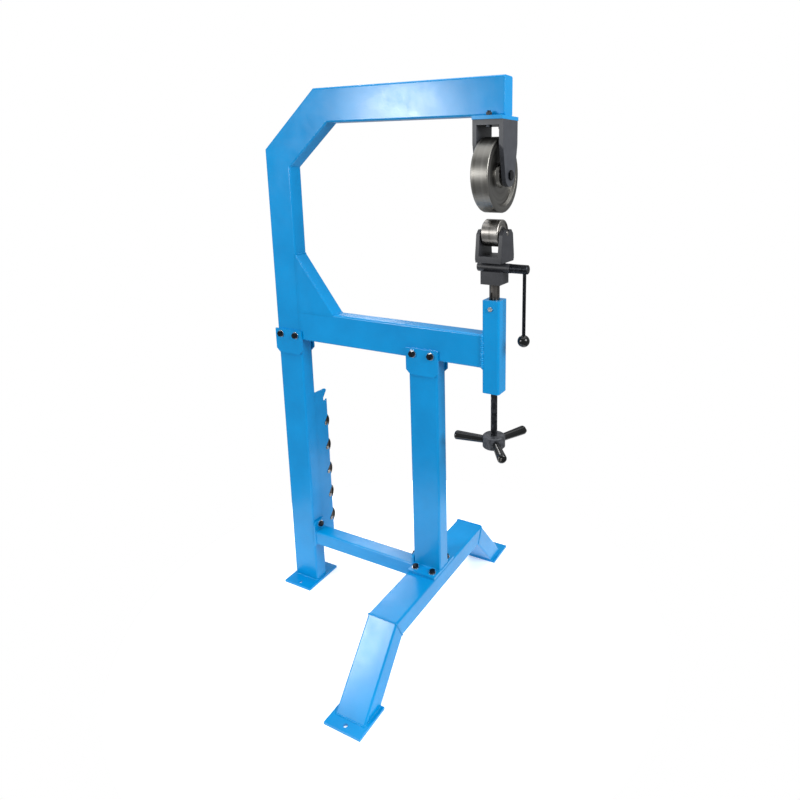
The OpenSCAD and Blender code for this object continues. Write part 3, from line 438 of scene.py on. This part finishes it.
def cross_foot_seams():
    """Seams round the cross foot's two knees and two feet."""
    beam, legs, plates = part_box("cross_foot_beam"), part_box("cross_foot_legs"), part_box("cross_foot_plates")
    drop = beam[1].z - beam[0].z
    half = (beam[1].x - beam[0].x) / 2
    knee = beam[1].y
    slope = math.atan2(legs[1].z - legs[0].z, legs[1].y - knee)
    inner_knee = knee - drop * math.tan(slope / 2)
    foot = drop / math.sin(slope)
    seams = []
    for side in (-1, 1):
        down = Vector((0, side * (inner_knee - knee), -drop))
        at = Vector((middle("cross_foot_beam").x, side * knee, beam[1].z)) + down / 2
        seams.append(closed_seam(at, X, down.normalized(), half, down.length / 2))
        at = Vector((at.x, side * (legs[1].y - foot / 2), plates[1].z))
        seams.append(closed_seam(at, X, Y, half, foot / 2))
    return seams


def arm_seams():
    """Seams across the gusset's two ends, and along both sides of the flange under the top arm."""
    gusset, flange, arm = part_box("lower_corner_gusset"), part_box("fork_flange"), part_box("top_arm")
    seams = []
    for at in (Vector((gusset[0].x, 0, gusset[1].z)), Vector((gusset[1].x, 0, gusset[0].z))):
        seams.append(straight_seam(at + Y * (gusset[0].y + SEAM_END), at + Y * (gusset[1].y - SEAM_END)))
    for side in (arm[0].y, arm[1].y):
        start = Vector((flange[0].x + SEAM_END, side, flange[1].z))
        seams.append(straight_seam(start, start + X * (arm[1].x - start.x)))
    return seams


def rack_seams():
    """Seams along the rack's two ends, and stitches along its folded corners."""
    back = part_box("rack_back")
    stitches, first, pitch, stitch = 5, 30 * MM, 120 * MM, 32 * MM
    seams = []
    for height in (back[0].z, back[1].z):
        start = Vector((back[0].x + SEAM_END, back[0].y, height))
        seams.append(straight_seam(start, start + X * (back[1].x - back[0].x - 2 * SEAM_END)))
    for at_x in (back[0].x, back[1].x):
        for k in range(stitches):
            start = Vector((at_x, back[1].y, back[0].z + first + pitch * k))
            seams.append(straight_seam(start, start + Z * stitch))
    return seams


def beads(name, seams, body, width_mm):
    """Painted weld beads: round cords of filler laid along their seams, rippled where each drop froze."""
    ripple = (1.0, 0.9, 0.74, 0.9)
    curve = bpy.data.curves.new(name, "CURVE")
    curve.dimensions = "3D"
    curve.bevel_depth = width_mm * MM / 2
    curve.bevel_resolution = 2
    curve.use_fill_caps = True
    for points, closed in seams:
        spline = curve.splines.new("POLY")
        spline.points.add(len(points) - 1)
        spline.use_cyclic_u = closed
        for k, p in enumerate(points):
            unsteady = 1 + 0.06 * math.sin(k * 0.61)
            spline.points[k].co = (*p, 1)
            spline.points[k].radius = ripple[k % len(ripple)] * unsteady
    obj = bpy.data.objects.new(name, curve)
    bpy.context.scene.collection.objects.link(obj)
    select_only(obj)
    bpy.ops.object.convert(target="MESH")
    obj = bpy.context.view_layer.objects.active
    bpy.ops.object.shade_smooth()
    obj.data.materials.clear()
    obj.data.materials.append(finish_named("paint"))
    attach(obj, body)
    return obj


def corner_spans():
    """Grooves that the tubes' round corners leave on both sides of the gusset."""
    gusset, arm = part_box("lower_corner_gusset"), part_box("lower_arm")
    spans = []
    for a, b in ((gusset[0].y, gusset[0].y + GROOVE), (gusset[1].y - GROOVE, gusset[1].y)):
        spans.append((Vector((gusset[0].x - GROOVE, a, arm[0].z + GROOVE)),
                      Vector((gusset[0].x + SINK, b, gusset[1].z))))
        spans.append((Vector((gusset[0].x, a, gusset[0].z - GROOVE)),
                      Vector((gusset[1].x, b, gusset[0].z + SINK))))
    return spans


def rack_spans():
    """Groove between the post's round corner and the rack's front flange."""
    post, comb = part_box("rear_post"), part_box("rack_comb_front")
    behind_flange = 1 * MM
    return [(Vector((post[1].x - GROOVE, post[1].y - GROOVE, comb[0].z)),
             Vector((post[1].x, comb[0].y + behind_flange, comb[1].z)))]


def filler(name, spans, node):
    """Ground-off weld that fills the grooves beside a tube's round corners, a strip for each span."""
    pieces = []
    for lo, hi in spans:
        bpy.ops.object.select_all(action="DESELECT")
        bpy.ops.mesh.primitive_cube_add(size=1, location=(lo + hi) / 2, scale=hi - lo)
        pieces.append(bpy.context.view_layer.objects.active)
        bpy.ops.object.transform_apply(location=True, rotation=True, scale=True)
    obj = joined(pieces)
    obj.name = name
    obj.data.materials.append(finish_named("paint"))
    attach(obj, BODY_OF[node])
    return obj


# Screw and star handle

def screw_thread(sizes):
    """Thread of the adjusting screw, from its lower end up to the lift shaft."""
    lo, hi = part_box("adjusting_screw")
    at = middle("adjusting_screw")
    crest, pitch = (hi.x - lo.x) / 2, sizes.thread_pitch
    root = crest - sizes.thread_depth
    turns = int((low("lift_shaft").z - lo.z) / pitch)
    chords = 28
    # Radius, and share of the pitch at which the flank reaches it
    profile = [(root, 0.0), (crest, 0.22), (crest, 0.5), (root, 0.72), (root, 1.0)]
    mesh = bpy.data.meshes.new("adjusting_screw_thread")
    mesh.from_pydata([(r, 0, share * pitch) for r, share in profile],
                     [(k, k + 1) for k in range(len(profile) - 1)], [])
    obj = bpy.data.objects.new("adjusting_screw_thread", mesh)
    bpy.context.scene.collection.objects.link(obj)
    apply_modifier(obj, "SCREW", screw_offset=pitch, iterations=turns - 1, steps=chords,
                   render_steps=chords, axis="Z", use_merge_vertices=False)
    select_only(obj)
    obj.data.transform(Matrix.Translation((at.x, at.y, lo.z)))
    bpy.ops.object.mode_set(mode="EDIT")
    bpy.ops.mesh.select_all(action="SELECT")
    bpy.ops.mesh.remove_doubles(threshold=0.02 * MM)
    bpy.ops.mesh.normals_make_consistent(inside=False)
    bpy.ops.object.mode_set(mode="OBJECT")
    bpy.ops.object.shade_smooth_by_angle(angle=math.radians(30))
    return obj


def screw_core(sizes):
    """Plain core that fills the thread and runs on into the shaft."""
    lo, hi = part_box("adjusting_screw")
    at = middle("adjusting_screw")
    radius = (hi.x - lo.x) / 2 - sizes.thread_depth + 0.05 * MM
    bpy.ops.mesh.primitive_cylinder_add(vertices=48, radius=radius, depth=hi.z - lo.z,
                                        location=(at.x, at.y, (lo.z + hi.z) / 2))
    core = bpy.context.view_layer.objects.active
    core.data.transform(core.matrix_world)
    core.matrix_world = Matrix.Identity(4)
    bpy.ops.object.shade_smooth_by_angle(angle=math.radians(30))
    return core


def stud_ends(grips, sizes):
    """Bright end of the stud that shows in the dimple of each of the star handle's grips."""
    count, sunk, shown = 3, 3 * MM, 5 * MM
    hub, level = middle("star_hub"), middle("star_grips").z
    farthest = max(grips.data.vertices, key=lambda v: (v.co.xy - hub.xy).length).co.xy - hub.xy
    reach = farthest.length - sunk
    studs = []
    for k in range(count):
        turn = math.atan2(farthest.y, farthest.x) + k * math.radians(360 / count)
        at = Vector((hub.x + reach * math.cos(turn), hub.y + reach * math.sin(turn), level))
        bpy.ops.object.select_all(action="DESELECT")
        bpy.ops.mesh.primitive_cylinder_add(vertices=32, radius=sizes.stud / 2, depth=shown, location=at,
                                            rotation=(0, math.radians(90), turn))
        stud = bpy.context.view_layer.objects.active
        apply_modifier(stud, "BEVEL", width=1 * MM, segments=3, limit_method="ANGLE")
        bpy.ops.object.transform_apply(location=True, rotation=True, scale=True)
        studs.append(stud)
    obj = joined(studs)
    obj.name = "grip_stud_ends"
    bpy.ops.object.shade_smooth_by_angle(angle=math.radians(35))
    obj.data.materials.append(finish_named("pins"))
    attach(obj, BODY_OF["star_grips"])
    return obj


# Stage

def studio_room():
    """World whose room is a soft grey, in front of a white wall."""
    world = bpy.data.worlds.new("studio")
    world.use_nodes = True
    tree = world.node_tree
    tree.nodes.clear()
    room = add(tree, "ShaderNodeBackground", {"Color": (0.96, 0.98, 1.0, 1), "Strength": 0.42})
    wall = add(tree, "ShaderNodeBackground", {"Color": (1, 1, 1, 1), "Strength": 1.0})
    seen = add(tree, "ShaderNodeLightPath").outputs["Is Camera Ray"]
    both = add(tree, "ShaderNodeMixShader", {0: seen, 1: room.outputs[0], 2: wall.outputs[0]})
    add(tree, "ShaderNodeOutputWorld", {"Surface": both.outputs[0]})
    bpy.context.scene.world = world


def lamp(name, at, aim, width, height, power):
    """Soft rectangular light, with its size in metres and its power in watts."""
    light = bpy.data.lights.new(name, "AREA")
    light.shape = "RECTANGLE"
    light.size, light.size_y, light.energy = width, height, power
    obj = bpy.data.objects.new(name, light)
    obj.location = at
    obj.rotation_euler = (Vector(aim) - Vector(at)).to_track_quat("-Z", "Y").to_euler()
    bpy.context.scene.collection.objects.link(obj)


def photo_camera():
    """Camera fitted to the photograph's edges, for a square picture."""
    azimuth, elevation, roll = math.radians(26.53), math.radians(12.63), math.radians(-0.09)
    picture_px, focal_px, centre_x, centre_y = 800, 614.58, 478.15, 304.0
    beyond_wheel, aside, height = 0.72447, -1.55574, 1.5128
    back = Vector((math.sin(azimuth) * math.cos(elevation), -math.cos(azimuth) * math.cos(elevation),
                   math.sin(elevation)))
    right = Vector((math.cos(azimuth), math.sin(azimuth), 0))
    up = back.cross(right)
    rolled = right * math.cos(roll) + up * math.sin(roll)
    camera = bpy.data.cameras.new("photo_camera")
    camera.sensor_width = 36
    camera.lens = focal_px * camera.sensor_width / picture_px
    camera.shift_x = (picture_px / 2 - centre_x) / picture_px
    camera.shift_y = (centre_y - picture_px / 2) / picture_px
    obj = bpy.data.objects.new("photo_camera", camera)
    axes = Matrix((rolled, back.cross(rolled), back)).transposed().to_4x4()
    obj.matrix_world = Matrix.Translation((middle("upper_wheel").x + beyond_wheel, aside, height)) @ axes
    bpy.context.scene.collection.objects.link(obj)
    return obj


# The settings that a user would change

def colour(name, description, code):
    return bpy.props.FloatVectorProperty(name=name, description=description, subtype="COLOR", size=3,
                                         min=0, max=1, default=linear(code))


def length(name, description, mm):
    return bpy.props.FloatProperty(name=name, description=description, subtype="DISTANCE", unit="LENGTH",
                                   min=0, default=mm * MM)


class WheelColours(bpy.types.PropertyGroup):
    """Colours of the machine's finishes."""
    paint: colour("Paint", "Powder coat of the frame and stand", "#0084C2")
    paint_deep: colour("Deep paint", "The powder coat where it lies thicker", "#007BB7")
    casting: colour("Fork grey", "Satin grey of the fork", "#3C3E43")
    casting_deep: colour("Deep fork grey", "The satin grey's darker mottle", "#313338")
    head: colour("Charcoal", "Satin charcoal of the yoke and lift block", "#2B2C30")
    head_deep: colour("Deep charcoal", "The charcoal's darker mottle", "#212226")
    steel: colour("Steel", "Turned bare steel", "#9A9793")
    steel_deep: colour("Deep steel", "Turned bare steel between the bright bands", "#6E6B67")
    # The upper wheel's two tones are painted shade: darker than the anvil's, for the dark room that its steel
    # mirrors
    wheel_shade: colour("Shaded wheel steel", "Turned steel of the upper wheel, darkened as painted shade", "#797874")
    wheel_shade_deep: colour("Deep shaded wheel steel", "The upper wheel's darker bands, also darkened as painted shade", "#605E5A")
    # The spare anvils' two tones are darker than the working anvil's
    brown: colour("Brown-grey steel", "Spare anvils, darker than the working anvil", "#5A534C")
    brown_deep: colour("Deep brown-grey steel", "The spare anvils' darker cuts", "#3A3530")
    shaft: colour("Shaft", "Ground lift shaft", "#6E6A66")
    shaft_deep: colour("Deep shaft", "Oiled patches of the shaft", "#4A4744")
    dark: colour("Dark steel", "Screw, star hub and bearings", "#54565B")
    dark_deep: colour("Deep dark steel", "The dark steel's shaded patches", "#36383C")
    black: colour("Black steel", "Oxide-blacked bolts and nuts", "#2C2E32")
    black_deep: colour("Deep black steel", "The oxide's darker patches", "#1A1C1F")
    zinc: colour("Zinc", "Plated washers", "#D8DADC")
    zinc_deep: colour("Deep zinc", "The plating's greyer spangles", "#B4B8BC")
    bronze: colour("Bronze", "Guide bushings and screw nut", "#C09A5A")
    bronze_deep: colour("Deep bronze", "The bronze's tarnish", "#8A6A3A")
    plastic: colour("Plastic", "Grips and lever ball", "#0E0F10")
    plastic_deep: colour("Deep plastic", "The plastic's flow marks", "#070808")
    floor: colour("Floor", "Studio floor", "#FCFCFD")


class WheelSizes(bpy.types.PropertyGroup):
    """Sizes of the details that the plain solids leave out."""
    weld: length("Weld", "Width of the ordinary weld beads", 6)
    guide_weld: length("Guide weld", "Width of the beads that hold the guide tube", 11)
    plate_edge: length("Plate edge", "Rounding of the plates' edges under the paint", 0.9)
    casting_edge: length("Casting edge", "Rounding of the fork's and yoke's edges", 1.6)
    bolt_edge: length("Bolt edge", "Chamfer of the bolt heads and nuts", 0.9)
    wheel_edge: length("Wheel edge", "Rounding of the wheels' turned edges", 0.7)
    stud: length("Stud", "Diameter of the stud ends in the star handle's grips", 12)
    thread_depth: length("Thread depth", "Depth of the adjusting screw's thread", 1.8)
    thread_pitch: length("Thread pitch", "Pitch of the adjusting screw's thread", 4)


# One operator for each piece or group of like pieces

class WHEEL_OT_frame_tubes(bpy.types.Operator):
    """Dress the frame's and stand's tubes in gloss powder coat"""
    bl_idname = "english_wheel.frame_tubes"
    bl_label = "Frame tubes"

    def execute(self, context):
        # A tube whose ends run flush into its neighbour keeps them sharp, so that the seam doesn't show
        for node in FLUSH_TUBES:
            dressed(node, finish_named("paint"), smooth_deg=40)
        for node in TUBES:
            dressed(node, finish_named("paint"), edge_mm=0.5, smooth_deg=40, segments=1)
        return {"FINISHED"}


class WHEEL_OT_plates(bpy.types.Operator):
    """Dress the plates, caps and flanges, with the paint's soft edges"""
    bl_idname = "english_wheel.plates"
    bl_label = "Plates and flanges"

    def execute(self, context):
        edge = context.scene.wheel_sizes.plate_edge / MM
        paint = finish_named("paint")
        for node in PLATES:
            dressed(node, paint, edge)
        gusset, cap, lid = low("lower_corner_gusset"), low("arm_end_cap"), low("guide_top_plate")
        dressed("lower_corner_gusset", paint, edge_mm=4, segments=4, flush=((0, gusset.x), (2, gusset.z)))
        dressed("arm_end_cap", paint, edge_mm=1.6, segments=3, flush=((0, cap.x),))
        dressed("guide_top_plate", paint, edge_mm=1.2, segments=3, flush=((2, lid.z),))
        return {"FINISHED"}


class WHEEL_OT_welds(bpy.types.Operator):
    """Lay the painted weld beads along the frame's and stand's seams"""
    bl_idname = "english_wheel.welds"
    bl_label = "Weld beads"

    def execute(self, context):
        sizes = context.scene.wheel_sizes
        weld, guide_weld, rack_weld = sizes.weld / MM, sizes.guide_weld / MM, 5
        post_ends = [level_seam("rear_post", high("rear_foot_plate").z),
                     level_seam("front_leg", high("leg_base_flange").z)]
        beads("post_welds", post_ends, "frame", weld)
        brace_ends = [end_seam("brace", low("brace").x), end_seam("brace", high("brace").x)]
        beads("brace_welds", brace_ends, "frame", weld)
        beads("cross_foot_welds", cross_foot_seams(), "frame", weld)
        beads("guide_welds", [end_seam("lower_arm", low("guide_tube").x)], "frame", guide_weld)
        beads("arm_welds", arm_seams(), "frame", weld)
        # The lower corner and the rack's front corner are filled and ground flush
        filler("corner_filler", corner_spans(), "lower_corner_gusset")
        beads("rack_welds", rack_seams(), "frame", rack_weld)
        filler("rack_filler", rack_spans(), "rack_back")
        return {"FINISHED"}


class WHEEL_OT_rack(bpy.types.Operator):
    """Dress the anvil rack's folded back and its notched flanges"""
    bl_idname = "english_wheel.rack"
    bl_label = "Anvil rack"

    def execute(self, context):
        for node in RACK:
            dressed(node, finish_named("paint"), edge_mm=0.6)
        return {"FINISHED"}


class WHEEL_OT_fasteners(bpy.types.Operator):
    """Dress the bolts, nuts and washers, with chamfered heads"""
    bl_idname = "english_wheel.fasteners"
    bl_label = "Bolts, nuts and washers"

    def execute(self, context):
        edge = context.scene.wheel_sizes.bolt_edge / MM
        for node in BLACK_BOLTS:
            dressed(node, finish_named("black steel"), edge)
        dressed("stand_washers", finish_named("zinc"), edge_mm=0.4)
        dressed("set_screw", finish_named("zinc"), edge_mm=0.5)
        return {"FINISHED"}


class WHEEL_OT_castings(bpy.types.Operator):
    """Dress the fork, yoke, lift block and cam barrel in satin grey"""
    bl_idname = "english_wheel.castings"
    bl_label = "Fork, yoke and lift block"

    def execute(self, context):
        edge = context.scene.wheel_sizes.casting_edge / MM
        dressed("upper_fork", finish_named("grey"), edge, segments=3)
        for node in LIFT_HEAD:
            dressed(node, finish_named("deep grey"), edge, segments=3)
        return {"FINISHED"}


class WHEEL_OT_wheels(bpy.types.Operator):
    """Dress the upper wheel, the anvils and their bearings as turned steel"""
    bl_idname = "english_wheel.wheels"
    bl_label = "Wheels and anvils"

    def execute(self, context):
        c = context.scene.wheel_colours
        edge = context.scene.wheel_sizes.wheel_edge / MM
        # Tones and roughness, with the spare anvils' for any other
        # The upper wheel's darker tones are painted shade, for the dark room that its steel mirrors
        working = {"upper_wheel": ((c.wheel_shade_deep, c.wheel_shade), 0.36),
                   "anvil_wheel": ((c.steel_deep, c.steel), 0.34)}
        spare = ((c.brown_deep, c.brown), 0.36)
        for node in ROLLERS:
            tones, roughness = working.get(node, spare)
            dressed(node, turned_steel("turned_steel_" + node, middle(node), tones, roughness), edge)
        for node in ("upper_bearings", "anvil_bearings"):
            dressed(node, finish_named("dark steel"), edge_mm=0.2)
        return {"FINISHED"}


class WHEEL_OT_pins(bpy.types.Operator):
    """Dress the axles, spacers and dowels in bright drawn steel"""
    bl_idname = "english_wheel.pins"
    bl_label = "Axles and pins"

    def execute(self, context):
        for node in BRIGHT_PINS:
            dressed(node, finish_named("pins"), edge_mm=0.4)
        return {"FINISHED"}


class WHEEL_OT_lift(bpy.types.Operator):
    """Dress the lift shaft, and the bronze it runs in"""
    bl_idname = "english_wheel.lift"
    bl_label = "Lift shaft and bushings"

    def execute(self, context):
        dressed("lift_shaft", finish_named("shaft"), edge_mm=0.5)
        for node in ("guide_bushings", "screw_nut"):
            dressed(node, finish_named("bronze"), edge_mm=0.5)
        return {"FINISHED"}


class WHEEL_OT_screw(bpy.types.Operator):
    """Cut the adjusting screw's thread, and dress the star hub and its grips"""
    bl_idname = "english_wheel.screw"
    bl_label = "Adjusting screw and star handle"

    def execute(self, context):
        sizes = context.scene.wheel_sizes
        screw = joined([screw_thread(sizes), screw_core(sizes)])
        claim(screw, "adjusting_screw", finish_named("dark steel"))
        dressed("star_hub", finish_named("hub grey"), edge_mm=0.8)
        grips = dressed("star_grips", finish_named("plastic"), edge_mm=0.5, smooth_deg=45)
        stud_ends(grips, sizes)
        return {"FINISHED"}


class WHEEL_OT_lever(bpy.types.Operator):
    """Dress the cam shaft, the lever and its ball"""
    bl_idname = "english_wheel.lever"
    bl_label = "Quick-lift lever"

    def execute(self, context):
        dressed("cam_shaft", finish_named("dark steel"), edge_mm=0.3)
        dressed("lever_hub", finish_named("black steel"), edge_mm=0.5)
        dressed("lever_rod", finish_named("black steel"), edge_mm=0.3)
        dressed("lever_ball", finish_named("plastic"), smooth_deg=60)
        return {"FINISHED"}


class WHEEL_OT_stage(bpy.types.Operator):
    """Set the pale floor, the soft studio lights and the photograph's camera"""
    bl_idname = "english_wheel.stage"
    bl_label = "Stage, lights and camera"

    def execute(self, context):
        bpy.ops.object.select_all(action="DESELECT")
        floor_radius = 0.9
        bpy.ops.mesh.primitive_circle_add(vertices=96, radius=floor_radius, fill_type="NGON",
                                          location=(0, 0, 0))
        floor = context.view_layer.objects.active
        floor.name = "studio_floor"
        floor.data.materials.append(finish_named("floor"))
        studio_room()
        # Each lamp's place, aim, width, height and power
        # The top arm and the near foot mirror the key panel, and the brace mirrors its own
        lamp("key_panel", (-1.68, -2.75, 1.78), (0.05, 0, 1.1), 0.6, 0.8, 64)
        lamp("brace_panel", (-1.75, 2.2, 2.25), (-0.05, 0, 0.3), 0.5, 0.45, 8)
        lamp("fill_right", (3.2, -0.7, 2.6), (0, 0, 1.2), 1.5, 1.5, 125)
        lamp("top_soft", (0.0, 0.3, 4.6), (0, 0, 0), 5.0, 5.0, 160)
        context.scene.camera = photo_camera()
        context.scene.view_settings.view_transform = "Standard"
        return {"FINISHED"}


OPERATORS = (WHEEL_OT_frame_tubes, WHEEL_OT_plates, WHEEL_OT_welds, WHEEL_OT_rack, WHEEL_OT_fasteners,
             WHEEL_OT_castings, WHEEL_OT_wheels, WHEEL_OT_pins, WHEEL_OT_lift, WHEEL_OT_screw, WHEEL_OT_lever,
             WHEEL_OT_stage)


class WHEEL_PT_panel(bpy.types.Panel):
    """Lists the machine's pieces, colours and sizes"""
    bl_idname = "WHEEL_PT_panel"
    bl_label = "English wheel"
    bl_space_type = "VIEW_3D"
    bl_region_type = "UI"
    bl_category = "English wheel"

    def draw(self, context):
        for operator in OPERATORS:
            self.layout.operator(operator.bl_idname)
        for group in (context.scene.wheel_colours, context.scene.wheel_sizes):
            for name in group.__annotations__:
                self.layout.prop(group, name)


CLASSES = (WheelColours, WheelSizes) + OPERATORS + (WHEEL_PT_panel,)


def register():
    for cls in CLASSES:
        bpy.utils.register_class(cls)
    bpy.types.Scene.wheel_colours = bpy.props.PointerProperty(type=WheelColours)
    bpy.types.Scene.wheel_sizes = bpy.props.PointerProperty(type=WheelSizes)


def unregister():
    del bpy.types.Scene.wheel_sizes
    del bpy.types.Scene.wheel_colours
    for cls in reversed(CLASSES):
        bpy.utils.unregister_class(cls)


def main():
    register()
    for operator in OPERATORS:
        family, name = operator.bl_idname.split(".")
        getattr(getattr(bpy.ops, family), name)()


if __name__ == "__main__":
    main()
